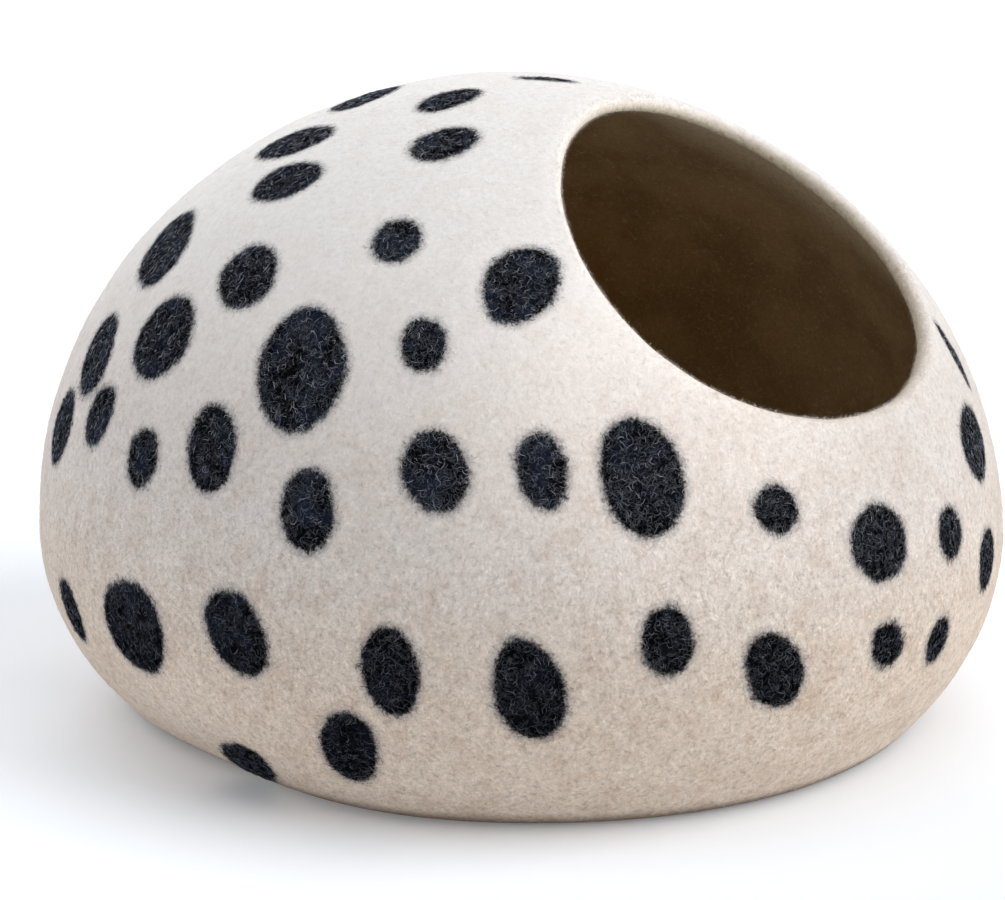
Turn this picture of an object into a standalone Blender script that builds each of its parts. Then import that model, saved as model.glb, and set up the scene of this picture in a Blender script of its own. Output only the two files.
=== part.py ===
"""A one-piece felt cat cave: a seamless wet-felted wool shell with a flat foot and one slanted mouth.

Metres, +Z up. The origin is on the floor under the middle of the cave, and the mouth looks
towards -Y and up. Turns are measured round +Z from -Y, towards +X.
"""

import math

import bmesh
import bpy
import numpy as np
from mathutils import Matrix, Vector

# Body, outside
WIDTH = 0.480  # across the belly, its widest ring
HEIGHT = 0.310
BELLY_HEIGHT = 0.088  # the widest ring, above the floor
FOOT_RADIUS = 0.199  # where the belly meets the floor
DOME_POWER = 1.96  # 2 is a true ellipse, more is boxier
BELLY_POWER = 1.95
LEAN = (-0.0048, 0.0058)  # how far the crown stands off the foot, in x and y

# The foot is drawn in on one side, where the wool shrank more
TUCK_TURN = math.radians(-98)
TUCK_WIDTH = math.radians(20)
TUCK_DEPTH = 0.06  # share of the foot's radius

# Hand-made unevenness: waves round the body as (lobes, start, height in metres)
WAVES = (
    (2, math.radians(35), 0.0011),
    (3, math.radians(-20), 0.0009),
    (5, math.radians(60), 0.0006),
)

# Felt
WALL = 0.008
FOOT_ROUNDING = 0.005  # height over which the wall rolls under into the flat foot
SHORTEST_EDGE = 0.002  # closer points near the foot's edge are merged
ON_FLOOR = 1e-6
RIM_ROUNDING = 0.0036  # nearly half the wall: the rim is a soft roll
RIM_STEPS = 2
RIM_CORNER = math.radians(60)  # only the rim turns more sharply than this

# Mouth: an oval cut square to an axis that leaves the middle of the room
ROOM_MIDDLE = Vector((0, 0, 0.12))
MOUTH_RISE = math.radians(42)  # the axis above the horizontal
MOUTH_LONG = 0.222
MOUTH_SHORT = 0.193
MOUTH_TWIST = math.radians(28)  # the long way of the oval, up from level on the +X side

# Mesh
SEGMENTS = 60  # around the mouth's axis
RINGS = 32  # from the mouth's axis to its opposite pole
EDGE_RING = 5  # the ring that becomes the mouth's edge
BISECTIONS = 30
EDGE_STEPS = 8

FELT_COLOUR = (0.78, 0.72, 0.65, 1)
FELT_ROUGHNESS = 0.95


def wave_height(turn):
    """How far the body stands out at this turn."""
    return sum(size * np.cos(lobes * (turn - start)) for lobes, start, size in WAVES)


def foot_radius(turn):
    """The foot's radius at this turn, with its drawn-in side."""
    off = (turn - TUCK_TURN + math.pi) % (2 * math.pi) - math.pi
    return FOOT_RADIUS * (1 - TUCK_DEPTH * np.exp(-((off / TUCK_WIDTH) ** 2)))


def level(points):
    """Below 0 inside the body, above 0 outside, for an array of points."""
    x, y, z = points.T
    share = (z - BELLY_HEIGHT) / HEIGHT
    x = x - LEAN[0] * share
    y = y - LEAN[1] * share
    turn = np.arctan2(x, -y)
    across = np.hypot(x, y) / (WIDTH / 2 + wave_height(turn))
    above = (z - BELLY_HEIGHT) / (HEIGHT - BELLY_HEIGHT)
    shrink = 1 - (foot_radius(turn) / (WIDTH / 2)) ** BELLY_POWER
    below = (BELLY_HEIGHT - z) / (BELLY_HEIGHT / shrink ** (1 / BELLY_POWER))
    dome = across**DOME_POWER + np.abs(above) ** DOME_POWER
    belly = across**BELLY_POWER + np.abs(below) ** BELLY_POWER
    return np.where(z > BELLY_HEIGHT, dome, belly) - 1


def reach(directions):
    """How far the skin is from the middle of the room, along each unit direction."""
    near = np.zeros(len(directions))
    far = np.full(len(directions), WIDTH)
    for _ in range(BISECTIONS):
        middle = (near + far) / 2
        inside = level(np.array(ROOM_MIDDLE) + middle[:, None] * directions) < 0
        near = np.where(inside, middle, near)
        far = np.where(inside, far, middle)
    return near


def mouth_radius(around):
    """The oval's radius, seen along the mouth's axis."""
    angle = around - MOUTH_TWIST
    long_way = np.cos(angle) / (MOUTH_LONG / 2)
    short_way = np.sin(angle) / (MOUTH_SHORT / 2)
    return 1 / np.hypot(long_way, short_way)


def directions_at(polar, around):
    """Unit directions at these angles from the mouth's axis and around it."""
    axis = np.array((0, -math.cos(MOUTH_RISE), math.sin(MOUTH_RISE)))
    level_way = np.array((1, 0, 0))
    up_way = np.cross(axis, level_way)
    sideways = np.outer(np.cos(around), level_way) + np.outer(np.sin(around), up_way)
    return np.cos(polar)[:, None] * axis + np.sin(polar)[:, None] * sideways


def edge_angle(around):
    """The angle from the mouth's axis at which the skin meets the oval."""
    polar = np.full(len(around), math.asin(MOUTH_LONG / WIDTH))
    for _ in range(EDGE_STEPS):
        polar = np.arcsin(mouth_radius(around) / reach(directions_at(polar, around)))
    return polar


def felt_skin():
    """The outer skin as an open mesh: a sphere whose pole is the mouth, pulled onto the body."""
    skin = bmesh.new()
    bmesh.ops.create_uvsphere(skin, u_segments=SEGMENTS, v_segments=RINGS, radius=1)
    step = math.pi / RINGS
    edge_polar = step * EDGE_RING
    up = Vector((0, 0, 1))
    cap = [v for v in skin.verts if v.co.angle(up) < edge_polar - step / 2]
    bmesh.ops.delete(skin, geom=cap, context="VERTS")

    start = np.array([v.co for v in skin.verts])
    polar = np.arccos(np.clip(start[:, 2], -1, 1))
    around = np.arctan2(start[:, 1], start[:, 0])
    edge = edge_angle(around)
    polar = edge + (polar - edge_polar) / (math.pi - edge_polar) * (math.pi - edge)
    ways = directions_at(polar, around)
    ends = np.array(ROOM_MIDDLE) + reach(ways)[:, None] * ways
    for vert, end in zip(skin.verts, ends):
        vert.co = end
    return skin


def flatten_foot(skin):
    """Press the skin onto the floor, with a soft roll where the wall turns under."""
    for height in (-FOOT_ROUNDING, 0, FOOT_ROUNDING):
        geometry = skin.verts[:] + skin.edges[:] + skin.faces[:]
        floor = Vector((0, 0, height))
        bmesh.ops.bisect_plane(skin, geom=geometry, plane_co=floor, plane_no=(0, 0, 1))
        near = [v for v in skin.verts if abs(v.co.z - height) < SHORTEST_EDGE]
        bmesh.ops.remove_doubles(skin, verts=near, dist=SHORTEST_EDGE)
    for vert in skin.verts:
        above = vert.co.z + FOOT_ROUNDING
        if above < ON_FLOOR:
            vert.co.z = 0
        elif vert.co.z < FOOT_ROUNDING:
            vert.co.z = above**2 / (4 * FOOT_ROUNDING)


def centre(skin):
    """Stand the middle of the widest ring over the origin."""
    corners = np.array([v.co for v in skin.verts])
    middle = (corners.min(axis=0) + corners.max(axis=0)) / 2
    shift = Matrix.Translation((-middle[0], -middle[1], 0))
    bmesh.ops.transform(skin, matrix=shift, verts=skin.verts)


def felt_material():
    material = bpy.data.materials.new("felt_ivory")
    material.use_nodes = True
    shader = material.node_tree.nodes["Principled BSDF"]
    shader.inputs["Base Color"].default_value = FELT_COLOUR
    shader.inputs["Roughness"].default_value = FELT_ROUGHNESS
    shader.inputs["Metallic"].default_value = 0
    return material


def felt_shell():
    """The whole cave: the skin, thickened inwards, with a rounded rim at the mouth."""
    skin = felt_skin()
    flatten_foot(skin)
    centre(skin)
    mesh = bpy.data.meshes.new("felt_shell")
    skin.to_mesh(mesh)
    skin.free()
    mesh.shade_smooth()
    shell = bpy.data.objects.new("felt_shell", mesh)
    shell.data.materials.append(felt_material())

    wall = shell.modifiers.new("wall", "SOLIDIFY")
    wall.thickness = WALL
    wall.offset = -1
    wall.use_even_offset = True

    rim = shell.modifiers.new("rim", "BEVEL")
    rim.width = RIM_ROUNDING
    rim.segments = RIM_STEPS
    rim.limit_method = "ANGLE"
    rim.angle_limit = RIM_CORNER
    rim.use_clamp_overlap = False
    return shell


def build():
    for old in list(bpy.data.objects):
        bpy.data.objects.remove(old)
    cave = bpy.data.collections.new("felt_cat_cave")
    bpy.context.scene.collection.children.link(cave)
    cave.objects.link(felt_shell())


build()
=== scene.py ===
import math

import bpy
import numpy as np
from mathutils import Matrix, Vector, noise
from mathutils.bvhtree import BVHTree


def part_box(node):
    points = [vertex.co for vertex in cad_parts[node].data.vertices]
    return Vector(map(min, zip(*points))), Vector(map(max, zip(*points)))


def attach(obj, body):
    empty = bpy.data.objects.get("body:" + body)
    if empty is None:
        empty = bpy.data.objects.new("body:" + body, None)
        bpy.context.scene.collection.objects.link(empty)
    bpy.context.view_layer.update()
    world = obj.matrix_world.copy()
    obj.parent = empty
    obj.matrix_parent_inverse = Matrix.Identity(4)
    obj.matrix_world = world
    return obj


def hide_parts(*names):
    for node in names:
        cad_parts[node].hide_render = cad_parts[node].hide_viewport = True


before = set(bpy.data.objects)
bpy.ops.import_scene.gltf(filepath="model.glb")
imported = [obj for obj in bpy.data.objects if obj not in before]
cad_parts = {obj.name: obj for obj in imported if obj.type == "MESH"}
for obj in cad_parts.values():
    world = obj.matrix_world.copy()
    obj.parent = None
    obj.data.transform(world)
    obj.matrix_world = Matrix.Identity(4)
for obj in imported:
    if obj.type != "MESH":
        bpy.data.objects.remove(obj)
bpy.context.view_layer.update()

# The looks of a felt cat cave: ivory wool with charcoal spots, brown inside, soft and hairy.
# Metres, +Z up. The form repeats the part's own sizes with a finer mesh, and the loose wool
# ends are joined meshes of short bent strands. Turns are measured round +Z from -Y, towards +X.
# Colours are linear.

# ---------------------------------------------------------------- sizes of the cave

WIDTH = 0.480
HEIGHT = 0.310
BELLY_HEIGHT = 0.088  # where it is widest
FOOT_RADIUS = 0.199
DOME_POWER = 1.96  # of the rounded curve above the belly, 2 for an ellipse
BELLY_POWER = 1.95  # and below it
LEAN = (-0.0048, 0.0058)  # how far the top is moved in x and y over the foot
TUCK_TURN = math.radians(-98)  # where the foot is drawn in
TUCK_WIDTH = math.radians(20)
TUCK_DEPTH = 0.06  # share of the foot's radius
WAVES = (
    # lobes round the plan, turn of the first, height
    (2, math.radians(35), 0.0011),
    (3, math.radians(-20), 0.0009),
    (5, math.radians(60), 0.0006),
)
WALL = 0.008  # thickness of the felt
FOOT_ROUNDING = 0.005
ROOM_MIDDLE = np.array((0, 0, 0.12))
MOUTH_RISE = math.radians(42)  # how far the mouth looks up
MOUTH_LONG = 0.222
MOUTH_SHORT = 0.193
MOUTH_TWIST = math.radians(28)  # of its long way, round its axis

# Fine mesh
COLUMNS = 360  # around the mouth's axis
RINGS = 140  # from the rim to the far pole, outside; inside has half as many
RIM_STEPS = 10  # over the half round of the rim
BISECTIONS = 34  # to find the skin along a direction
EDGE_STEPS = 8  # to find the mouth's edge on the skin
SLOPE_STEP = 1e-5  # over which the skin's slope is measured
NEARBY = range(-8, 9, 2)  # neighbours, in rings and in columns, that hold the inner face off
LEAST_FACING = 0.2  # cosine below which a neighbour's plane says nothing

# Soft unevenness of hand-made felt
LUMPS = (
    # size, height
    (0.060, 0.00060),
    (0.024, 0.00034),
    (0.011, 0.00016),
    (0.005, 0.00008),
)
LUMPS_SHIFT = (3.1, 1.7, 0.4)  # keeps each size's noise apart from the others'
LUMPS_START = 0.018  # height above the floor at which they are full

# ---------------------------------------------------------------- camera of the photograph

PHOTO_WIDE, PHOTO_HIGH = 1005, 900
CAMERA_TURN = math.radians(-50)
CAMERA_RISE = math.radians(15)
CAMERA_DISTANCE = 1.44
CAMERA_CLIP = (0.05, 100)
AIM_RIGHT, AIM_HEIGHT = -0.0107, 0.1214  # the place in the picture's middle
FOCAL_PIXELS = 2860
SENSOR = 36

# ---------------------------------------------------------------- spots

# Ovals measured in the photograph's pixels: the middle, the long and short way, and how many
# degrees the long way leans clockwise from upright.
SPOTS = (
    # x, y, long, short, lean
    (365, 99, 70, 8, 71),
    (449, 100, 66, 16, 75),
    (546, 80, 58, 2, 94),
    (295, 143, 80, 19, 70),
    (444, 144, 70, 29, 76),
    (286, 182, 73, 29, 67),
    (397, 241, 52, 40, 58),
    (167, 249, 88, 29, 35),
    (248, 277, 71, 48, 40),
    (521, 285, 86, 68, 47),
    (164, 338, 91, 47, 29),
    (424, 345, 53, 46, 2),
    (99, 355, 88, 22, 20),
    (302, 370, 127, 86, 12),
    (63, 427, 76, 16, 13),
    (100, 416, 64, 22, 19),
    (143, 458, 62, 29, 9),
    (212, 448, 90, 47, 6),
    (435, 472, 83, 67, -12),
    (542, 471, 78, 51, -10),
    (642, 478, 122, 82, -14),
    (308, 511, 86, 53, 1),
    (776, 510, 51, 43, -20),
    (879, 543, 77, 55, -3),
    (950, 533, 52, 23, -3),
    (986, 559, 63, 13, 5),
    (973, 443, 76, 20, -11),
    (953, 355, 72, 3, -28),
    (887, 645, 45, 31, 14),
    (937, 640, 49, 17, 20),
    (774, 671, 75, 58, -8),
    (73, 610, 66, 12, -20),
    (136, 627, 99, 50, -23),
    (237, 633, 94, 53, -25),
    (250, 763, 64, 21, -57),
    (351, 746, 73, 49, -18),
    (391, 672, 92, 56, -14),
    (529, 691, 104, 71, -15),
    (667, 642, 72, 52, -3),
)
SPOT_RING = 24  # points round an oval
SPOT_SHRINK = 0.04  # share by which a point beyond the horizon steps towards the middle
LONGEST_RATIO = 1.7  # of an oval on the felt: a narrower one goes on beyond the horizon
SLIVER = 4  # pixels: an oval whose short way is under this may be longer than that
SLIVER_RATIO = 3.2
SPOT_WOBBLE = (
    # lobes, share of the radius
    (2, 0.014),
    (3, 0.020),
    (4, 0.015),
    (5, 0.011),
)
WOBBLE_SHARE = (0.4, 1)  # how much of each wobble a spot has
SPOT_WIDEST = 1.2  # no wobbled edge reaches this share of half the long way
SPOT_REACH = 0.012  # how far from its edge an oval's distance is kept
PAST_REACH = 0.15  # how far from the rim's crest the distance from it is kept
SPOT_SEED = 3
TINY = 1e-9  # keeps divisors above 0

# The sides that the photograph doesn't show get spots of the same kind
HIDDEN_SPOTS = 46
HIDDEN_THROWS = 20000  # most tries for all of them
HIDDEN_LONG = (0.0125, 0.0260)  # half the long way
HIDDEN_RATIO = (0.66, 0.90)  # the short way over the long way
HIDDEN_LEAN = math.radians(24)  # most, to either side of upright
HIDDEN_GAP = 0.018  # least, between the edges of two spots
HIDDEN_MARGIN = 0.02  # cosine by which the skin under a spot is turned from the camera
HIDDEN_CURVE = 0.2  # about the skin's radius: half a spot over it adds to that cosine
HIDDEN_LOWEST = 0.036  # least height of a spot's middle
HIDDEN_RIM_GAP = 0.012  # least, between a spot's end and the rim's crest
HIDDEN_SEED = 5
LEVEL_SKIN = 0.9  # z of the skin's normal above which upright means nothing

# ---------------------------------------------------------------- form


def wave_height(turn):
    """How far the plan's soft waves push the skin out at a turn."""
    return sum(size * np.cos(lobes * (turn - start)) for lobes, start, size in WAVES)


def foot_radius(turn):
    """The foot's radius at a turn, less where it is drawn in."""
    off = (turn - TUCK_TURN + math.pi) % (2 * math.pi) - math.pi
    return FOOT_RADIUS * (1 - TUCK_DEPTH * np.exp(-((off / TUCK_WIDTH) ** 2)))


def level(points):
    """Below 0 inside the closed body without its mouth, above 0 outside."""
    x, y, z = points.T
    share = (z - BELLY_HEIGHT) / HEIGHT
    x = x - LEAN[0] * share
    y = y - LEAN[1] * share
    turn = np.arctan2(x, -y)
    across = np.hypot(x, y) / (WIDTH / 2 + wave_height(turn))
    above = (z - BELLY_HEIGHT) / (HEIGHT - BELLY_HEIGHT)
    shrink = 1 - (foot_radius(turn) / (WIDTH / 2)) ** BELLY_POWER
    below = (BELLY_HEIGHT - z) / (BELLY_HEIGHT / shrink ** (1 / BELLY_POWER))
    dome = across**DOME_POWER + np.abs(above) ** DOME_POWER
    belly = across**BELLY_POWER + np.abs(below) ** BELLY_POWER
    return np.where(z > BELLY_HEIGHT, dome, belly) - 1


def reach(directions):
    """How far the skin is from the middle of the room, along unit directions."""
    near = np.zeros(len(directions))
    far = np.full(len(directions), WIDTH)
    for _ in range(BISECTIONS):
        middle = (near + far) / 2
        inside = level(ROOM_MIDDLE + middle[:, None] * directions) < 0
        near = np.where(inside, middle, near)
        far = np.where(inside, far, middle)
    return near


def mouth_radius(around):
    """The oval mouth's radius at an angle round its axis."""
    angle = around - MOUTH_TWIST
    return 1 / np.hypot(np.cos(angle) / (MOUTH_LONG / 2), np.sin(angle) / (MOUTH_SHORT / 2))


# The mouth's frame: its axis, and the level and rising ways in its plane
MOUTH_AXIS = np.array((0, -math.cos(MOUTH_RISE), math.sin(MOUTH_RISE)))
LEVEL_WAY = np.array((1.0, 0, 0))
UP_WAY = np.cross(MOUTH_AXIS, LEVEL_WAY)


def directions_at(polar, around):
    """Directions at an angle from the mouth's axis and an angle round it."""
    sideways = np.cos(around)[..., None] * LEVEL_WAY + np.sin(around)[..., None] * UP_WAY
    return np.cos(polar)[..., None] * MOUTH_AXIS + np.sin(polar)[..., None] * sideways


def angles_of(directions):
    """(polar, around) of directions, the inverse of directions_at."""
    polar = np.arccos(np.clip(directions @ MOUTH_AXIS, -1, 1))
    return polar, np.arctan2(directions @ UP_WAY, directions @ LEVEL_WAY)


def unit(vectors):
    return vectors / np.linalg.norm(vectors, axis=-1, keepdims=True)


def press(points):
    """The flat foot, with a soft roll where the wall turns under."""
    above = np.maximum(points[..., 2] + FOOT_ROUNDING, 0)
    low = points[..., 2] < FOOT_ROUNDING
    points[..., 2] = np.where(low, above**2 / (4 * FOOT_ROUNDING), points[..., 2])
    return points


def rim_lines():
    """The middle line of the rolled rim, with its outward and mouthward directions."""
    around = np.arange(COLUMNS) * 2 * math.pi / COLUMNS
    polar = np.full(COLUMNS, math.asin(MOUTH_LONG / WIDTH))
    for _ in range(EDGE_STEPS):
        polar = np.arcsin(mouth_radius(around) / reach(directions_at(polar, around)))
    ways = directions_at(polar, around)
    edge = ROOM_MIDDLE + reach(ways)[:, None] * ways
    steps = SLOPE_STEP * np.eye(3)
    slopes = [level(edge + step) - level(edge - step) for step in steps]
    out = unit(np.stack(slopes, axis=1))
    along = unit(np.roll(edge, -1, axis=0) - np.roll(edge, 1, axis=0))
    mouthward = unit(np.cross(out, along))
    mouthward *= np.sign(((edge.mean(axis=0) - edge) * mouthward).sum(axis=1))[:, None]
    return edge - WALL / 2 * (mouthward + out), out, mouthward


def columns_from(starts, rings):
    """Directions from each start to the pole opposite the mouth, as [ring, column]."""
    polar, around = angles_of(unit(starts - ROOM_MIDDLE))
    share = np.arange(rings)[:, None] / rings
    polar = polar + share * (math.pi - polar)
    return directions_at(polar, np.broadcast_to(around, polar.shape))


def grid_normals(points):
    """Normals that point away from the room's middle, for a [ring, column] grid."""
    along = np.roll(points, -1, axis=1) - np.roll(points, 1, axis=1)
    down = np.gradient(points, axis=0)
    normals = unit(np.cross(down, along))
    outward = np.sign(((points - ROOM_MIDDLE) * normals).sum(axis=2))
    return normals * outward[..., None]


def inner_reach(ways, points, normals):
    """How far the inner face is: a wall's thickness under every tangent plane nearby."""
    least = np.full(ways.shape[:2], WIDTH)
    rows = np.arange(len(points))
    for down in NEARBY:
        row = np.clip(rows + down, 0, len(points) - 1)
        for along in NEARBY:
            plane = np.roll(normals[row], along, axis=1)
            facing = (plane * ways).sum(axis=2)
            depth = ((np.roll(points[row], along, axis=1) - ROOM_MIDDLE) * plane).sum(axis=2)
            distance = (depth - WALL) / np.maximum(facing, LEAST_FACING)
            least = np.minimum(least, np.where(facing > LEAST_FACING, distance, WIDTH))
    return least


def arc_lengths(points):
    """How far each point of a grid is from the first ring, along its column."""
    steps = np.linalg.norm(np.diff(points, axis=0), axis=2)
    return np.concatenate([np.zeros((1, points.shape[1])), np.cumsum(steps, axis=0)])


def shell_grids():
    """Rings of points from the outer pole, over the rim, to the inner pole.

    Returns the points, their outward normals, and how far past the rim's crest they are:
    below 0 outside the cave and above 0 inside it.
    """
    middle, out, mouthward = rim_lines()
    half = WALL / 2

    ways = columns_from(middle + half * out, RINGS)
    flat = ways.reshape(-1, 3)
    skin = press(ROOM_MIDDLE + (reach(flat)[:, None] * flat).reshape(ways.shape))
    skin_normals = grid_normals(skin)

    inner_ways = columns_from(middle - half * out, RINGS)
    inner = ROOM_MIDDLE + inner_reach(inner_ways, skin, skin_normals)[..., None] * inner_ways
    inner_normals = -grid_normals(inner)

    bends = np.arange(1, RIM_STEPS) / RIM_STEPS * math.pi
    rim_normals = np.cos(bends)[:, None, None] * out + np.sin(bends)[:, None, None] * mouthward
    rim = middle + half * rim_normals
    rim_past = np.broadcast_to((bends - math.pi / 2)[:, None] * half, rim.shape[:2])

    quarter = half * math.pi / 2
    inner_past = quarter + arc_lengths(inner)
    points = np.concatenate([skin[::-1], rim, inner[::2]])
    normals = np.concatenate([skin_normals[::-1], rim_normals, inner_normals[::2]])
    past = np.concatenate([-quarter - arc_lengths(skin)[::-1], rim_past, inner_past[::2]])
    return points, normals, past


def lumps(points):
    """The height of the felt's soft lumps at each point."""
    total = np.zeros(len(points))
    for number, (size, height) in enumerate(LUMPS):
        shift = Vector((LUMPS_SHIFT[0] * number, *LUMPS_SHIFT[1:]))
        total += height * np.array([noise.noise(Vector(p) / size + shift) for p in points])
    return total * np.clip(points[:, 2] / LUMPS_START, 0, 1) ** 2


# ---------------------------------------------------------------- meshes

BAKE_MAP = "OFBake"
MAP_EDGE = 0.005  # free share at the left and right of the shell's bake map
MAP_RISES = (0.01, 0.62, 0.99)  # heights in it of the outer pole's ring, the rim, the inner one's
MAP_POLES = (0.004, 0.996)  # heights in it of the two poles


def mesh_object(name, points, triangles, material, uvs, **values):
    """A smooth mesh from arrays, with point attributes and a map of its own for baking."""
    mesh = bpy.data.meshes.new(name)
    mesh.vertices.add(len(points))
    mesh.vertices.foreach_set("co", np.ascontiguousarray(points, np.float32).ravel())
    mesh.loops.add(triangles.size)
    mesh.loops.foreach_set("vertex_index", triangles.astype(np.int32).ravel())
    mesh.polygons.add(len(triangles))
    mesh.polygons.foreach_set("loop_start", np.arange(0, triangles.size, 3, dtype=np.int32))
    mesh.polygons.foreach_set("use_smooth", np.full(len(triangles), True))
    mesh.update(calc_edges=True)
    for key, value in values.items():
        layer = mesh.attributes.new(key, "FLOAT", "POINT")
        layer.data.foreach_set("value", np.ascontiguousarray(value, np.float32))
    layer = mesh.uv_layers.new(name=BAKE_MAP)
    layer.uv.foreach_set("vector", np.ascontiguousarray(uvs, np.float32).ravel())
    mesh.materials.append(material)
    made = bpy.data.objects.new(name, mesh)
    bpy.context.scene.collection.objects.link(made)
    return made


def tube_triangles(rings, columns):
    """Triangles over a [ring, column] grid that closes on itself, and their grid corners."""
    ring, column = np.meshgrid(np.arange(rings - 1), np.arange(columns), indexing="ij")
    ring, column = ring.ravel(), column.ravel()
    a, b = (ring, column), (ring, column + 1)
    c, d = (ring + 1, column + 1), (ring + 1, column)
    first = np.stack([np.stack(p, axis=1) for p in (a, b, c)], axis=1)
    second = np.stack([np.stack(p, axis=1) for p in (a, c, d)], axis=1)
    corners = np.concatenate([first, second])
    return corners[..., 0] * columns + corners[..., 1] % columns, corners


def end_triangles(rings, columns):
    """Fans that join a grid's first and last ring to two poles, numbered after the grid."""
    here = np.arange(columns)
    following = (here + 1) % columns
    pole = np.full(columns, rings * columns)
    last_ring = (rings - 1) * columns
    first = np.stack([following, here, pole], axis=1)
    last = np.stack([last_ring + here, last_ring + following, pole + 1], axis=1)
    return np.concatenate([first, last])


def shell_map(corners, rings, columns):
    """The shell's bake map: turns across, outside below the rim's line and inside above it."""

    def across(column):
        return MAP_EDGE + (1 - 2 * MAP_EDGE) * column / columns

    rises = np.interp(np.arange(rings), (0, RINGS, rings - 1), MAP_RISES)
    parts = [np.stack([across(corners[..., 1]), rises[corners[..., 0]]], axis=-1)]
    here = np.arange(columns)
    ends = (
        # first and second corner past the column, height of the ring, height of the pole
        (1, 0, MAP_RISES[0], MAP_POLES[0]),
        (0, 1, MAP_RISES[2], MAP_POLES[1]),
    )
    for first, second, ring_rise, pole_rise in ends:
        u = across(np.stack([here + first, here + second, here + 0.5], axis=1))
        v = np.broadcast_to((ring_rise, ring_rise, pole_rise), u.shape)
        parts.append(np.stack([u, v], axis=-1))
    return np.concatenate(parts)


# ---------------------------------------------------------------- camera


def camera_frame():
    """The camera's place, and its ways to the right, up and back."""
    right = np.array((math.cos(CAMERA_TURN), math.sin(CAMERA_TURN), 0))
    back = np.array(
        (
            math.sin(CAMERA_TURN) * math.cos(CAMERA_RISE),
            -math.cos(CAMERA_TURN) * math.cos(CAMERA_RISE),
            math.sin(CAMERA_RISE),
        )
    )
    up = np.cross(back, right)
    place = right * AIM_RIGHT + np.array((0, 0, AIM_HEIGHT)) + back * CAMERA_DISTANCE
    return place, right, up, back


def pixel_ray(x, y):
    """Where the ray through a pixel of the photograph starts, and its direction."""
    place, right, up, back = camera_frame()
    across = (x - PHOTO_WIDE / 2) / FOCAL_PIXELS
    rise = (PHOTO_HIGH / 2 - y) / FOCAL_PIXELS
    return Vector(place), Vector(across * right + rise * up - back).normalized()


def add_camera():
    place, right, up, back = camera_frame()
    data = bpy.data.cameras.new("camera")
    data.sensor_width = SENSOR
    data.lens = FOCAL_PIXELS / PHOTO_WIDE * SENSOR
    data.clip_start, data.clip_end = CAMERA_CLIP
    camera = bpy.data.objects.new("camera", data)
    turned = Matrix([(*right, 0), (*up, 0), (*back, 0), (0, 0, 0, 1)]).transposed()
    camera.matrix_world = Matrix.Translation(place) @ turned
    bpy.context.scene.collection.objects.link(camera)
    bpy.context.scene.camera = camera


# ---------------------------------------------------------------- spots on the felt


class Spot:
    """An oval on the skin: its middle, the skin's normal there, its half ways and wobble."""

    def __init__(self, middle, normal, long_way, long, short, rng):
        self.middle, self.normal = middle, unit(normal)
        self.long_way = unit(long_way - (long_way @ self.normal) * self.normal)
        self.short_way = np.cross(self.normal, self.long_way)
        self.long, self.short = long, short
        self.wobble = [
            (lobes, share * rng.uniform(*WOBBLE_SHARE), rng.uniform(0, 2 * math.pi))
            for lobes, share in SPOT_WOBBLE
        ]

    def flat(self, points):
        """Points laid out on the oval's plane, at their true distance from its middle."""
        away = points - self.middle
        x, y = away @ self.long_way, away @ self.short_way
        stretch = np.linalg.norm(away, axis=-1) / np.maximum(np.hypot(x, y), TINY)
        return x * stretch, y * stretch

    def distance(self, points):
        """Roughly how far points are from the oval's edge, below 0 inside it."""
        x, y = self.flat(points)
        turn = np.arctan2(y, x)
        edge = 1 + sum(s * np.cos(lobes * turn + start) for lobes, s, start in self.wobble)
        size = np.maximum(np.hypot(x / self.long, y / self.short), TINY)
        slope = np.hypot(x / self.long**2, y / self.short**2) / size
        return (size - edge) / np.maximum(slope, TINY)


def ring_on_felt(tree, middle, long_way, short_way):
    """Where an oval of the photograph lies on the felt; points beyond it step inwards."""
    ring = []
    for turn in np.arange(SPOT_RING) * 2 * math.pi / SPOT_RING:
        step = long_way * math.cos(turn) + short_way * math.sin(turn)
        for share in np.arange(1, 0, -SPOT_SHRINK):
            place = tree.ray_cast(*pixel_ray(*(middle + share * step)))[0]
            if place is not None:
                ring.append(place)
                break
    return np.array(ring)


def nearest(tree, point):
    """The place on the felt nearest to a point, and the normal there."""
    place, normal = tree.find_nearest(Vector(point))[:2]
    return np.array(place), np.array(normal)


def shown_spots(tree, rng):
    """The photograph's ovals, laid on the skin along the camera's rays."""
    spots = []
    for x, y, long, short, lean in SPOTS:
        longest = SLIVER_RATIO if short < SLIVER else LONGEST_RATIO
        tilt = math.radians(lean)
        long_way = np.array((math.sin(tilt), -math.cos(tilt))) * long / 2
        short_way = np.array((math.cos(tilt), math.sin(tilt))) * short / 2
        ring = ring_on_felt(tree, np.array((x, y)), long_way, short_way)
        middle, normal = nearest(tree, ring.mean(axis=0))

        # The oval that has the ring's spread, both ways, on the skin
        probe = Spot(middle, normal, ring[0] - middle, 1, 1, rng)
        flat = np.stack(probe.flat(ring), axis=1)
        flat -= flat.mean(axis=0)
        squares, ways = np.linalg.eigh(flat.T @ flat / len(flat))
        short, long = np.sqrt(2 * squares)
        way = ways[0, 1] * probe.long_way + ways[1, 1] * probe.short_way
        hidden = long / longest - short
        if hidden > 0:  # it goes on beyond the horizon
            away = middle - camera_frame()[0]
            away = unit(away - (away @ normal) * normal)
            middle, normal = nearest(tree, middle + hidden * away)
            short += hidden
        spots.append(Spot(middle, normal, way, long, short, rng))
    return spots


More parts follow.
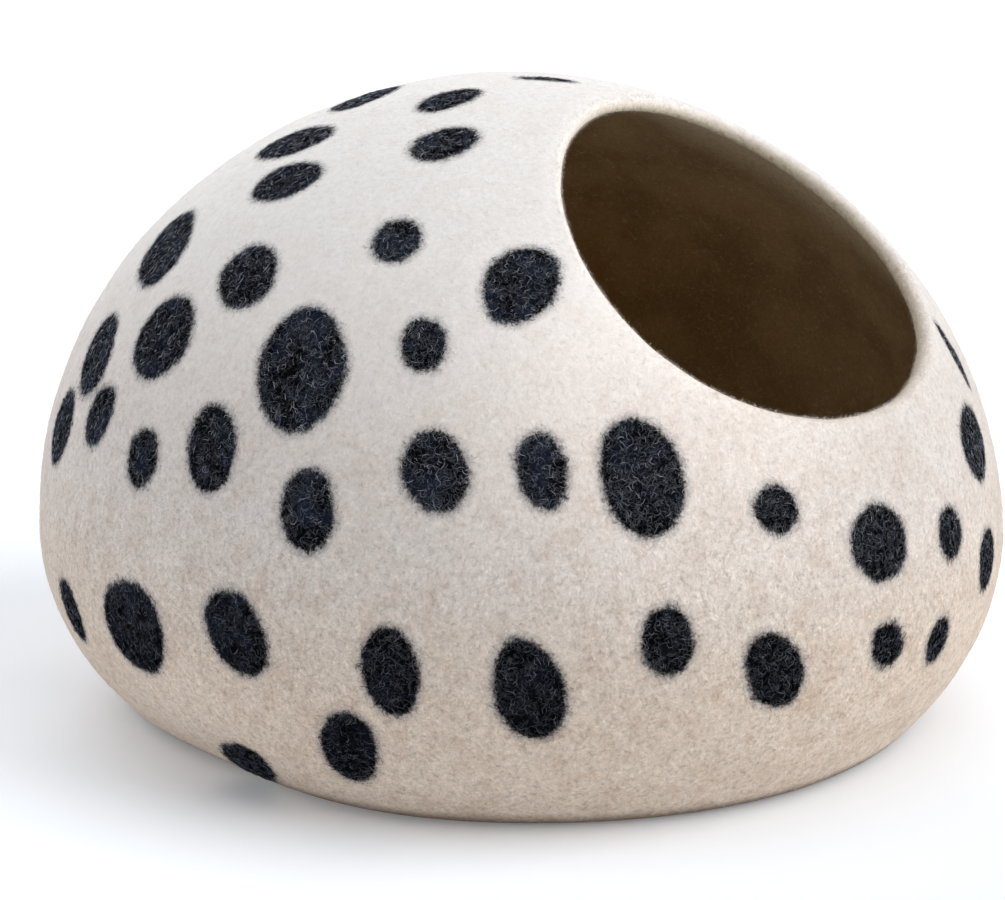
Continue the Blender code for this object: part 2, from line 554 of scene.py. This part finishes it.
def hidden_spots(spots, points, normals, past, rng):
    """More ovals where the photograph doesn't reach, thrown until they fit."""
    camera = camera_frame()[0]
    taken = list(spots)
    made = []
    for _ in range(HIDDEN_THROWS):
        if len(made) == HIDDEN_SPOTS:
            break
        pick = rng.integers(len(points))
        middle, normal = points[pick], normals[pick]
        # Columns crowd together near the foot's pole, so points there are picked less often
        if rng.random() > np.linalg.norm(np.cross(unit(middle - ROOM_MIDDLE), MOUTH_AXIS)):
            continue
        long = rng.uniform(*HIDDEN_LONG)
        short = long * rng.uniform(*HIDDEN_RATIO)
        if middle[2] < HIDDEN_LOWEST or past[pick] > -(long + HIDDEN_RIM_GAP):
            continue
        upward = np.array((0, 0, 1.0)) if normal[2] < LEVEL_SKIN else unit(rng.normal(size=3))
        upward = unit(upward - (upward @ normal) * normal)
        lean = rng.uniform(-HIDDEN_LEAN, HIDDEN_LEAN)
        way = math.cos(lean) * upward + math.sin(lean) * np.cross(normal, upward)
        if unit(camera - middle) @ normal > -(HIDDEN_MARGIN + long / HIDDEN_CURVE):
            continue
        gaps = [
            np.linalg.norm(middle - s.middle) - (long + short + s.long + s.short) / 2
            for s in taken
        ]
        if min(gaps) < HIDDEN_GAP:
            continue
        spot = Spot(middle, normal, way, long, short, rng)
        taken.append(spot)
        made.append(spot)
    return made


def spot_distances(spots, points):
    """How far points are from the nearest spot's edge, below 0 inside it."""
    least = np.full(len(points), SPOT_REACH)
    for spot in spots:
        limit = spot.long * SPOT_WIDEST + SPOT_REACH
        close = np.linalg.norm(points - spot.middle, axis=1) < limit
        least[close] = np.minimum(least[close], spot.distance(points[close]))
    return np.clip(least, -SPOT_REACH, SPOT_REACH)


# ---------------------------------------------------------------- materials

# Two distances tell the wools apart: spot is from the nearest spot's edge, below 0 inside it,
# and past is from the rim's crest, below 0 outside the cave.

# Ivory at the foot, at half height and at the crown: the warmer foot is the wool's own, while the
# darker foot and the paler crown are partly painted shade and painted light
IVORY_LOW = (0.680, 0.573, 0.476, 1)
IVORY_MIDDLE = (0.695, 0.638, 0.593, 1)
IVORY_HIGH = (0.882, 0.857, 0.836, 1)
IVORY_RISES = (0.06, 0.150, 0.29)
# The rest of the ivory's colours multiply it
PALE = (1.150, 1.148, 1.145, 1)
SHADE = (0.740, 0.726, 0.712, 1)
BLUSH = (0.898, 0.850, 0.818, 1)
CREAMY = (0.990, 0.978, 0.962, 1)
# Painted light on the front below the mouth
PAINTED_FRONT_LIGHT = (1.200, 1.180, 1.165, 1)
TAN = (1.000, 0.900, 0.760, 1)
# Painted light along the outside of the rim's crest
PAINTED_RIM_LIGHT = (1.075, 1.075, 1.070, 1)
# Painted shade where the felt meets the floor
PAINTED_CONTACT_SHADE = (0.260, 0.205, 0.160, 1)
CHARCOAL = (0.0016, 0.0017, 0.0022, 1)
CHARCOAL_BLUE = (0.0095, 0.0138, 0.0275, 1)
HAZE = (0.230, 0.228, 0.240, 1)
BROWN = (0.560, 0.410, 0.225, 1)
BROWN_DARK = (0.405, 0.272, 0.135, 1)
# Pale brown: the curls' own colour, and painted light near the mouth
BROWN_LIGHT = (0.960, 0.860, 0.650, 1)

NOISES = {
    # name: size of the features, detail, roughness, twist
    "patches": (0.034, 2, 0.5, 0),
    "blotches": (0.010, 2, 0.5, 0),
    "mottle": (0.006, 2, 0.5, 0),
    "grain": (0.0026, 3, 0.6, 0),
    "flecks": (0.0012, 1, 0.5, 0),
    "pits": (0.0042, 2, 0.5, 0),
    "blues": (0.013, 3, 0.5, 0),
    "browns": (0.040, 3, 0.5, 0),
    "wavy": (0.007, 1, 0.5, 0),
    "ragged": (0.0019, 2, 0.5, 0.6),
    "fine": (0.0008, 1, 0.5, 0),
}
IVORY_GRAIN = (
    # field, where it starts, where it is full, share, colour
    ("patches", 0.48, 0.74, 0.45, BLUSH),
    ("blotches", 0.44, 0.68, 0.72, BLUSH),
    ("mottle", 0.54, 0.30, 0.50, CREAMY),
    ("grain", 0.50, 0.70, 0.80, SHADE),
    ("grain", 0.48, 0.30, 1.00, PALE),
    ("flecks", 0.52, 0.76, 0.42, SHADE),
    ("flecks", 0.48, 0.26, 0.65, PALE),
)
IVORY_CURLS = (
    # number of the curls, share, colour
    (2, 0.80, PALE),
    (0, 0.34, SHADE),
)
PAINTED_LIGHT_PLACE = (-0.115, -0.175, 0.192)  # painted light: the felt is painted paler below the mouth, round here, where light falls on the front
IVORY_PLACES = (
    # field, where it starts, where it is full, share, colour
    ("from_painted_light_place", 0.13, 0.02, 1.00, PAINTED_FRONT_LIGHT),
    ("past", -0.016, -0.002, 1.00, PAINTED_RIM_LIGHT),
    ("past", -0.006, 0.003, 1.00, TAN),
    ("height", 0.010, 0.0005, 1.00, PAINTED_CONTACT_SHADE),
)
BROWN_LAYERS = (
    # field, where it starts, where it is full, share, colour
    ("browns", 0.35, 0.65, 1.00, BROWN),
    # Painted light: paler near the mouth, where light falls in
    ("past", 0.095, 0.035, 1.00, BROWN_LIGHT),
    ("height", 0.050, 0.015, 0.45, BROWN_LIGHT),
    ("grain", 0.45, 0.70, 0.45, BROWN_DARK),
)
BROWN_CURLS = 0.40  # share of BROWN_LIGHT in the middle curls

CURLS = (
    # size of the curls, their colour, how strongly they show, shift
    (0.0046, (0.056, 0.060, 0.071, 1), 0.90, (0.2, 0.8, 0.3)),
    (0.0034, (0.084, 0.088, 0.100, 1), 0.85, (0.9, 0.4, 0.7)),
    (0.0026, (0.150, 0.155, 0.167, 1), 0.75, (0.5, 0.1, 0.2)),
)
CURL_WIDTH = 0.028  # of the noise, either side of its middle value
CURL_PATCH = 1.7  # size of the patches in which curls show, over the curls' size
CURL_PATCHES = (0.36, 0.62)  # noise between which a patch fades in
CURL_LEAST = 0.08  # how strongly curls show between the patches
BLUE_WAY = (-0.64, 0.64, 0.42)  # spots on this side have blue in them
BLUE_PLACES = (-0.02, 0.12)  # metres along that way
BLUE_PATCHES = (0.42, 0.66)

# Heights between which something changes, and what it is below and above them
ROUGH_RISES = (0.07, 0.25)  # the felt is smoother at the crown
ROUGH_LEVELS = (1.10, 0.32)
SPOT_SHADE_RISES = (0.03, 0.16)  # painted shade: charcoal is plainer and darker near the foot
SPOT_SHADE_LEVELS = (0.75, 0.0)

# Fuzzy borders: how far each noise moves them, and from where to where the wool changes
SPOT_FUZZ = (("ragged", 0.0040), ("wavy", 0.0022), ("fine", 0.0028))
SPOT_BORDER = (0.0016, -0.0015)
HAZE_BORDER = (0.0044, 0.0004)  # a faint grey ring of stray dark wool
HAZE_SHARE = 0.42
BROWN_FUZZ = (("wavy", 0.004), ("ragged", 0.004))
BROWN_BORDER = (-0.0018, 0.0034)

RELIEF = (("pits", 1.9), ("grain", 0.9), ("flecks", 0.75))
CURL_RELIEF = 0.30
FELT_SHEEN = 0.12  # of the ivory and the brown

# Tones of the loose wool ends, from first to last
IVORY_ENDS = (
    (0.680, 0.585, 0.500, 1),
    (0.780, 0.715, 0.650, 1),
    (0.870, 0.842, 0.815, 1),
    (0.940, 0.928, 0.915, 1),
)
GREY_ENDS = (
    (0.014, 0.015, 0.020, 1),
    (0.058, 0.065, 0.086, 1),
    (0.158, 0.170, 0.206, 1),
    (0.500, 0.515, 0.550, 1),
)
BLACK_ENDS = (
    (0.003, 0.003, 0.004, 1),
    (0.012, 0.013, 0.018, 1),
    (0.050, 0.053, 0.064, 1),
)
BROWN_ENDS = (
    (0.520, 0.390, 0.220, 1),
    (0.740, 0.600, 0.390, 1),
    (0.880, 0.780, 0.590, 1),
)


class Nodes:
    """A tree's nodes, made one call at a time."""

    def __init__(self, tree):
        self.tree = tree

    def node(self, kind, inputs, output=0, **settings):
        """A new node's output; its inputs are values or other nodes' outputs."""
        made = self.tree.nodes.new("ShaderNode" + kind)
        for key, value in settings.items():
            setattr(made, key, value)
        for key, value in inputs.items():
            self.set(made.inputs[key], value)
        return made.outputs[output]

    def set(self, socket, value):
        if isinstance(value, bpy.types.NodeSocket):
            self.tree.links.new(value, socket)
        else:
            socket.default_value = value

    def math(self, operation, *values):
        inputs = dict(enumerate(values))
        return self.node("Math", inputs, operation=operation)

    def step(self, value, low, high, to_low=0.0, to_high=1.0):
        """A smooth step from one value at low to another at high."""
        inputs = {"Value": value, "From Min": low, "From Max": high}
        inputs |= {"To Min": to_low, "To Max": to_high}
        return self.node("MapRange", inputs, interpolation_type="SMOOTHSTEP")


class Shader(Nodes):
    """A material's nodes."""

    def __init__(self, name):
        self.material = bpy.data.materials.new(name)
        self.material.use_nodes = True
        super().__init__(self.material.node_tree)
        self.surface = self.tree.nodes["Principled BSDF"]

    def attribute(self, name):
        return self.node("Attribute", {}, "Fac", attribute_name=name)

    def noise(self, size, detail=0.0, roughness=0.5, twist=0.0, shift=None):
        """Noise with features of this size, in metres."""
        where = self.node("TexCoord", {}, "Object")
        if shift:
            where = self.node("VectorMath", {0: where, 1: shift}, operation="ADD")
        inputs = {"Vector": where, "Scale": 1 / size, "Detail": detail}
        inputs |= {"Roughness": roughness, "Distortion": twist}
        return self.node("TexNoise", inputs, "Fac")

    def add(self, start, terms):
        """start, plus each term's value times its factor."""
        for value, factor in terms:
            start = self.math("ADD", start, self.math("MULTIPLY", value, factor))
        return start

    def mix(self, share, first, second, blend="MIX"):
        """Two colours mixed; a mix node's colour sockets come after those of its other kinds."""
        made = self.tree.nodes.new("ShaderNodeMix")
        made.data_type, made.blend_type = "RGBA", blend
        self.set(made.inputs[0], share)
        self.set(made.inputs[6], first)
        self.set(made.inputs[7], second)
        return made.outputs[2]

    def threads(self, size, width, shift):
        """Thin curling lines: where a twisted noise crosses its middle value."""
        field = self.noise(size, detail=1.0, twist=0.8, shift=shift)
        off = self.math("ABSOLUTE", self.math("SUBTRACT", field, 0.5))
        return self.step(off, 0.0, width, 1.0, 0.0)

    def finish(self, colour, roughness, sheen, bump=None):
        self.set(self.surface.inputs["Base Color"], colour)
        self.set(self.surface.inputs["Roughness"], roughness)
        self.set(self.surface.inputs["Metallic"], 0.0)
        self.set(self.surface.inputs["Specular IOR Level"], 0.0)
        self.set(self.surface.inputs["Sheen Weight"], sheen)
        self.set(self.surface.inputs["Sheen Roughness"], 0.6)
        if bump is not None:
            self.set(self.surface.inputs["Normal"], bump)
        return self.material


def felt_material():
    """Ivory, charcoal and brown wool, told apart by the shell's attributes spot and past."""
    s = Shader("felt_wool")
    place = s.node("TexCoord", {}, "Object")
    fields = {name: s.noise(*values) for name, values in NOISES.items()}
    height = fields["height"] = s.node("SeparateXYZ", {0: place}, "Z")
    past = fields["past"] = s.attribute("past")
    fields["from_painted_light_place"] = s.node(
        "VectorMath", {0: place, 1: PAINTED_LIGHT_PLACE}, "Value", operation="DISTANCE"
    )
    curls = [s.threads(size, CURL_WIDTH, shift) for size, _, _, shift in CURLS]
    rough = s.step(height, *ROUGH_RISES, *ROUGH_LEVELS)

    def layered(colour, layers, strength=1.0, blend="MIX"):
        """A colour with a table's layers laid over it in turn."""
        for field, start, full, share, tint in layers:
            shown = s.step(fields[field], start, full, 0.0, share)
            colour = s.mix(s.math("MULTIPLY", shown, strength), colour, tint, blend)
        return colour

    # Ivory: paler at the crown and warmer below, partly painted light and painted shade, with
    # soft patches and a fine grain
    low, middle, high = IVORY_RISES
    ivory = s.mix(s.step(height, low, middle), IVORY_LOW, IVORY_MIDDLE)
    ivory = s.mix(s.step(height, middle, high), ivory, IVORY_HIGH)
    ivory = layered(ivory, IVORY_GRAIN, rough, "MULTIPLY")
    for number, share, tint in IVORY_CURLS:
        shown = s.math("MULTIPLY", s.math("MULTIPLY", curls[number], share), rough)
        ivory = s.mix(shown, ivory, tint, "MULTIPLY")
    # Painted light at the front and along the rim, painted shade at the foot, tan at the rim
    ivory = layered(ivory, IVORY_PLACES, blend="MULTIPLY")

    # Charcoal: black wool with blue in places, full of paler curls, plainer and darker near the
    # foot as painted shade
    leftward = s.node("VectorMath", {0: place, 1: BLUE_WAY}, "Value", operation="DOT_PRODUCT")
    on_left = s.step(leftward, *BLUE_PLACES)
    blue = s.math("MULTIPLY", on_left, s.step(fields["blues"], *BLUE_PATCHES))
    charcoal = s.mix(blue, CHARCOAL, CHARCOAL_BLUE)
    for curl, (size, colour, strength, _) in zip(curls, CURLS):
        patchy = s.step(s.noise(size * CURL_PATCH), *CURL_PATCHES, CURL_LEAST, strength)
        charcoal = s.mix(s.math("MULTIPLY", curl, patchy), charcoal, colour)
    # Painted shade: the charcoal is plainer and darker near the foot
    charcoal = s.mix(s.step(height, *SPOT_SHADE_RISES, *SPOT_SHADE_LEVELS), charcoal, CHARCOAL)

    # Brown, inside: paler near the mouth, painted light where light falls in, and paler on the
    # floor
    brown = layered(BROWN_DARK, BROWN_LAYERS)
    brown = s.mix(s.math("MULTIPLY", curls[1], BROWN_CURLS), brown, BROWN_LIGHT)

    def fuzzy(distance, fuzz):
        """A distance that noises move to and fro."""
        noises = [(s.math("SUBTRACT", fields[name], 0.5), reach) for name, reach in fuzz]
        return s.add(distance, noises)

    # The three wools, with fuzzy borders between them
    edge = fuzzy(s.attribute("spot"), SPOT_FUZZ)
    in_spot = s.step(edge, *SPOT_BORDER)
    colour = s.mix(s.step(edge, *HAZE_BORDER, 0.0, HAZE_SHARE), ivory, HAZE)
    colour = s.mix(in_spot, colour, charcoal)
    colour = s.mix(s.step(fuzzy(past, BROWN_FUZZ), *BROWN_BORDER), colour, brown)

    # Relief: pits and matted fibres
    rise = s.add(0.0, [(fields[name], share) for name, share in RELIEF])
    rise = s.add(rise, [(curl, CURL_RELIEF) for curl in curls])
    rise = s.math("MULTIPLY", rise, rough)
    bump = s.node("Bump", {"Strength": 0.70, "Distance": 0.00055, "Height": rise})
    sheen = s.math("MULTIPLY", s.math("SUBTRACT", 1.0, in_spot), FELT_SHEEN)
    return s.finish(colour, roughness=0.95, sheen=sheen, bump=bump)


def strand_material(name, tones):
    """Wool ends: each has a tone of its own, from the first colour to the last."""
    s = Shader(name)
    ramp = s.tree.nodes.new("ShaderNodeValToRGB")
    s.set(ramp.inputs[0], s.attribute("tone"))
    elements = ramp.color_ramp.elements
    while len(elements) < len(tones):
        elements.new(0.5)
    for number, colour in enumerate(tones):
        elements[number].position = number / (len(tones) - 1)
        elements[number].color = colour
    return s.finish(ramp.outputs[0], roughness=0.85, sheen=0.1)


# ---------------------------------------------------------------- wool strands

STRAND_SEED = 11
TONES = 48  # steps of tone, each with its own cell of the bake map
LAST_TONE = 0.999  # in the last step: 1 would be past it
TONE_CELL = 0.3  # how far a strand's map reaches either side of its cell's middle, over its width
MAP_LOW, MAP_LONG = 0.05, 0.9  # where a strand's map starts in its cell's height, and its share
LOWEST_ROOT = 0.0036  # above the floor, so that no strand reaches under it
CORNERS = (math.pi / 2, math.pi * 7 / 6, math.pi * 11 / 6)  # turns round a strand
WAVE = 0.5  # radians, the spread of a strand's swing from side to side
LIFT_POWER = 1.3  # a strand stands off the felt more towards its end
TAPER_START, TAPER_SPAN = 0.12, 0.80  # part of a half circle that its thickness follows


def strand_lines(roots, normals, rng, length, bend, lift, arch, sink, segments):
    """The middle lines of bent strands on the felt, as [strand, point]."""
    count = len(roots)
    ways = rng.normal(size=(count, 3))
    ways = unit(ways - (ways * normals).sum(axis=1, keepdims=True) * normals)
    sideways = np.cross(normals, ways)
    curl = rng.uniform(*bend, count) * rng.choice((-1, 1), count)
    wave = rng.normal(0, WAVE, count)
    share = np.linspace(0, 1, segments + 1)
    mid = (share[1:] + share[:-1]) / 2
    heading = curl[:, None] * (mid - 0.5) + wave[:, None] * np.sin(2 * math.pi * mid)
    steps = np.stack([np.cos(heading), np.sin(heading)]) * length[:, None] / segments
    x, y = np.concatenate([np.zeros((2, count, 1)), np.cumsum(steps, axis=2)], axis=2)
    if not lift[1]:  # one that lies down has its root at its middle, not at its end
        x -= x.mean(axis=1, keepdims=True)
        y -= y.mean(axis=1, keepdims=True)
    rise = rng.uniform(*lift, count)[:, None] * length[:, None] * share**LIFT_POWER
    rise = rise + rng.uniform(*arch, count)[:, None] * np.sin(math.pi * share) - sink
    return (
        roots[:, None]
        + x[..., None] * ways[:, None]
        + y[..., None] * sideways[:, None]
        + rise[..., None] * normals[:, None]
    )


def strand_faces(segments):
    """Triangles of one strand: a first point, rings of three corners and a last point."""
    last = 3 * (segments - 1) + 1
    faces = []
    for side in range(3):
        following = (side + 1) % 3
        faces.append((0, 1 + following, 1 + side))
        for ring in range(segments - 2):
            a, b = 1 + 3 * ring + side, 1 + 3 * ring + following
            faces += [(a, b, b + 3), (a, b + 3, a + 3)]
        faces.append((last, last - 3 + side, last - 3 + following))
    return np.array(faces)


def strands(
    name, material, roots, normals, rng, *,
    length, thick, bend, lift, arch, sink, segments=3, tone=None,
):
    """Short bent wool ends as one mesh of closed three-sided strands.

    The pairs are drawn from evenly: length and thickness, how far a strand bends along the
    felt in radians, how high its end stands over its length, and how high its middle stands.
    Its root lies as deep in the felt as sink. Tones are 0 to 1, drawn evenly if not given.
    """
    count = len(roots)
    length = rng.uniform(*length, count)
    radius = rng.uniform(*thick, count) / 2
    line = strand_lines(roots, normals, rng, length, bend, lift, arch, sink, segments)
    forward = unit(np.gradient(line, axis=1))
    across = unit(np.cross(forward, normals[:, None]))
    above = np.cross(across, forward)
    inner = slice(1, segments)
    share = np.linspace(0, 1, segments + 1)[inner]
    taper = np.sin(math.pi * (TAPER_START + TAPER_SPAN * share)) ** 0.5
    rings = []
    for turn in CORNERS:
        out = math.cos(turn) * across[:, inner] + math.sin(turn) * above[:, inner]
        rings.append(line[:, inner] + radius[:, None, None] * taper[None, :, None] * out)
    rings = np.stack(rings, axis=2).reshape(count, -1, 3)
    points = np.concatenate([line[:, :1], rings, line[:, -1:]], axis=1)
    each = points.shape[1]
    faces = strand_faces(segments)
    triangles = (faces + each * np.arange(count)[:, None, None]).reshape(-1, 3)
    if tone is None:
        tone = rng.random(count)
    tone = (np.floor(np.clip(tone, 0, LAST_TONE) * TONES) + 0.5) / TONES
    along = np.concatenate([[0], np.repeat(share, 3), [1]])
    u = tone[:, None, None] + TONE_CELL * np.array((-1, 1, 1)) / TONES
    v = MAP_LOW + MAP_LONG * along[faces]
    uvs = np.stack(np.broadcast_arrays(u, v), axis=-1)
    points = points.reshape(-1, 3)
    return mesh_object(name, points, triangles, material, uvs, tone=np.repeat(tone, each))


class Felt:
    """Places on the finished shell, picked at random and evenly."""

    def __init__(self, points, normals, triangles, spot, past):
        self.points, self.normals, self.triangles = points, normals, triangles
        a, b, c = (points[triangles[:, k]] for k in range(3))
        self.areas = np.linalg.norm(np.cross(b - a, c - a), axis=1) / 2
        self.clear = ((a + b + c) / 3)[:, 2] > LOWEST_ROOT
        self.spot, self.past = spot[triangles].mean(axis=1), past[triangles].mean(axis=1)

    def pick(self, rng, count, wanted):
        """count places, with normals, on the triangles where wanted(spot, past) is True."""
        weight = self.areas * (wanted(self.spot, self.past) & self.clear)
        chosen = rng.choice(len(self.triangles), count, p=weight / weight.sum())
        corners = self.triangles[chosen]
        mix = rng.dirichlet((1, 1, 1), count)[..., None]
        places = (self.points[corners] * mix).sum(axis=1)
        return places, unit((self.normals[corners] * mix).sum(axis=1))


# ---------------------------------------------------------------- build

GREY_SPREAD = (1.3, 1.9)  # of a beta distribution: more dark tones than pale ones
GREY_RISES = (0.03, 0.18)  # heights between which the tones get paler: painted shade near the foot
GREY_SHARES = (0.60, 1.06)
IVORY_SHARES = (0.72, 0.28)  # of an end's tone: what goes with its height, what is drawn


def build_shell(rng):
    """The felt itself, and the places on it that strands grow from."""
    points, normals, past = shell_grids()
    rings, columns = points.shape[:2]
    points, normals, past = points.reshape(-1, 3), normals.reshape(-1, 3), past.ravel()
    low, high = (np.array(corner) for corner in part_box("felt_shell"))
    shift = (low + high) / 2 - (points.min(axis=0) + points.max(axis=0)) / 2
    shift[2] = 0  # it stands on the floor
    points = points + shift
    points = points + normals * lumps(points)[:, None]

    poles = np.array([points[:columns].mean(axis=0), points[-columns:].mean(axis=0)])
    points = np.concatenate([points, poles])
    normals = np.concatenate([normals, normals[[0, -1]]])
    past = np.concatenate([past, past[[0, -1]]])
    triangles, corners = tube_triangles(rings, columns)
    triangles = np.concatenate([triangles, end_triangles(rings, columns)])

    outside = past < 0
    skin = points[outside], normals[outside], past[outside]
    spots = shown_spots(BVHTree.FromPolygons(points.tolist(), triangles.tolist()), rng)
    spots += hidden_spots(spots, *skin, np.random.default_rng(HIDDEN_SEED))
    spot = np.full(len(points), SPOT_REACH)
    spot[outside] = spot_distances(spots, points[outside])
    shell = mesh_object(
        "shell",
        points,
        triangles,
        felt_material(),
        shell_map(corners, rings, columns),
        spot=spot,
        past=np.clip(past, -PAST_REACH, PAST_REACH),
    )
    return shell, Felt(points, normals, triangles, spot, past)


def grey_tones(rng, roots):
    """Tones of the fibres in the spots: darker near the foot, as painted shade."""
    spread = rng.beta(*GREY_SPREAD, len(roots))
    return spread * np.interp(roots[:, 2], GREY_RISES, GREY_SHARES)


def ivory_tones(rng, roots):
    """Tones of the ivory ends: paler towards the crown, as the felt is, partly painted light and
    painted shade.
    """
    steady, drawn = IVORY_SHARES
    return steady * roots[:, 2] / IVORY_RISES[-1] + rng.uniform(0, drawn, len(roots))


def build_strands(felt, rng):
    """The loose wool ends, as pieces, each paired with the name of a slot."""
    ivory = strand_material("wool_ends_ivory", IVORY_ENDS)
    grey = strand_material("wool_ends_grey", GREY_ENDS)
    black = strand_material("wool_ends_black", BLACK_ENDS)
    brown = strand_material("wool_ends_brown", BROWN_ENDS)
    made = []

    def grow(name, slot, material, count, wanted, tones=None, **shape):
        """Adds a piece of count strands, on the triangles that are wanted."""
        roots, normals = felt.pick(rng, count, wanted)
        tone = tones and tones(rng, roots)
        piece = strands(name, material, roots, normals, rng, tone=tone, **shape)
        made.append((piece, slot))

    # Pale curls matted into the spots
    for number in (1, 2):
        grow(
            f"spot_fibres_{number}", "felt_charcoal", grey, count=11000,
            wanted=lambda spot, past: spot < -0.0002, tones=grey_tones,
            length=(0.0024, 0.0062), thick=(0.00017, 0.00032), bend=(0.8, 3.4),
            lift=(0, 0), arch=(0.00010, 0.00042), sink=0.00006, segments=4,
        )

    # Dark hairs that cross the spots' edges
    grow(
        "spot_edge_hairs", "felt_charcoal", black, count=15000,
        wanted=lambda spot, past: (spot > -0.0012) & (spot < 0.0020),
        length=(0.0012, 0.0032), thick=(0.00007, 0.00014), bend=(0.2, 1.8),
        lift=(0, 0.14), arch=(0.00005, 0.00020), sink=0.00006, segments=2,
    )

    # Ivory fuzz all over the outside
    grow(
        "ivory_fuzz", "felt_ivory", ivory, count=16000,
        wanted=lambda spot, past: (spot > 0.0002) & (past < 0.001), tones=ivory_tones,
        length=(0.0020, 0.0055), thick=(0.00008, 0.00016), bend=(0.3, 2.8),
        lift=(0, 0.10), arch=(0.00004, 0.00020), sink=0.00005,
    )

    # Short ends that stand off the rim
    grow(
        "rim_fuzz", "felt_ivory", ivory, count=9000,
        wanted=lambda spot, past: np.abs(past + 0.001) < 0.0055,
        length=(0.0010, 0.0031), thick=(0.00006, 0.00012), bend=(0.2, 1.6),
        lift=(0.10, 0.75), arch=(0, 0.0001), sink=0.00005, segments=2,
    )

    # Brown fuzz inside
    grow(
        "inner_fuzz", "felt_brown", brown, count=5000,
        wanted=lambda spot, past: past > 0.004,
        length=(0.0025, 0.0065), thick=(0.00012, 0.00022), bend=(0.3, 2.6),
        lift=(0, 0.16), arch=(0.0001, 0.0004), sink=0.00006,
    )
    return made


# ---------------------------------------------------------------- floor and light

FLOOR_RADIUS = 14
FLOOR_SIDES = 96
FLOOR_DROP = 0.0003  # below the cave's foot, so that the two don't share a plane
FLOOR_WHITE = (0.895, 0.928, 0.975, 1)
FLOOR_GLOW = 0.145  # the floor is a white table that is faintly lit from below
WHITE = (1.0, 1.0, 1.0)
COOL = (0.968, 0.992, 1.035)
LIGHTS = (
    # name, turn, rise, strength, colour
    ("key", math.radians(28), math.radians(31), 2.62, WHITE),
    ("overhead", 0, math.radians(90), 1.04, WHITE),
    ("rear", math.radians(147), math.radians(14), 2.45, COOL),
    ("left", math.radians(-152), math.radians(24), 0.68, COOL),
    ("fill", math.radians(-80), math.radians(20), 0.32, COOL),
)
LIGHT_SPREAD = math.radians(54)  # across each light, as the cave sees it
# A low band of white wall, on the side that lies behind the cave in level views
WALL_WHITE = 1.0
WALL_TURN = math.radians(-135)
WALL_TOP = (0.12, 0.20)  # sines of the angles over which it ends
WALL_ENDS = (-0.10, 0.35)  # cosines of the turns over which it ends


def way_to(turn, rise):
    """The direction at a turn and an angle above level."""
    flat = math.cos(rise)
    return Vector((math.sin(turn) * flat, -math.cos(turn) * flat, math.sin(rise)))


def add_floor():
    bpy.ops.mesh.primitive_circle_add(
        vertices=FLOOR_SIDES,
        radius=FLOOR_RADIUS,
        fill_type="NGON",
        location=(0, 0, -FLOOR_DROP),
    )
    floor = bpy.context.object
    floor.name = "floor"
    shader = Shader("plain_floor")
    floor.data.materials.append(shader.finish(FLOOR_WHITE, roughness=1.0, sheen=0.0))
    shader.surface.inputs["Emission Color"].default_value = (1, 1, 1, 1)
    shader.surface.inputs["Emission Strength"].default_value = FLOOR_GLOW


def add_light():
    for name, turn, rise, strength, colour in LIGHTS:
        data = bpy.data.lights.new(name, "SUN")
        data.energy, data.angle, data.color = strength, LIGHT_SPREAD, colour
        light = bpy.data.objects.new(name, data)
        light.rotation_mode = "QUATERNION"
        light.rotation_quaternion = way_to(turn, rise).to_track_quat("Z", "Y")
        bpy.context.scene.collection.objects.link(light)


def add_world():
    """A dark world with one low band of white wall."""
    world = bpy.data.worlds.new("studio")
    bpy.context.scene.world = world
    world.use_nodes = True
    s = Nodes(world.node_tree)
    way = s.node("TexCoord", {}, "Generated")
    rise = s.node("SeparateXYZ", {0: way}, "Z")
    middle = way_to(WALL_TURN, 0)
    side = s.node("VectorMath", {0: way, 1: middle}, "Value", operation="DOT_PRODUCT")
    low = s.step(rise, *WALL_TOP, WALL_WHITE, 0.0)
    background = s.tree.nodes["Background"]
    s.set(background.inputs["Strength"], s.math("MULTIPLY", low, s.step(side, *WALL_ENDS)))
    s.set(background.inputs["Color"], (1, 1, 1, 1))


shell, felt = build_shell(np.random.default_rng(SPOT_SEED))
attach(shell, "root")
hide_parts("felt_shell")
fuzz = build_strands(felt, np.random.default_rng(STRAND_SEED))
for piece, slot in fuzz:
    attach(piece, "root")
    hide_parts("felt_shell")
add_floor()
add_light()
add_world()
add_camera()
bpy.context.scene.view_settings.view_transform = "Standard"
bpy.context.view_layer.update()
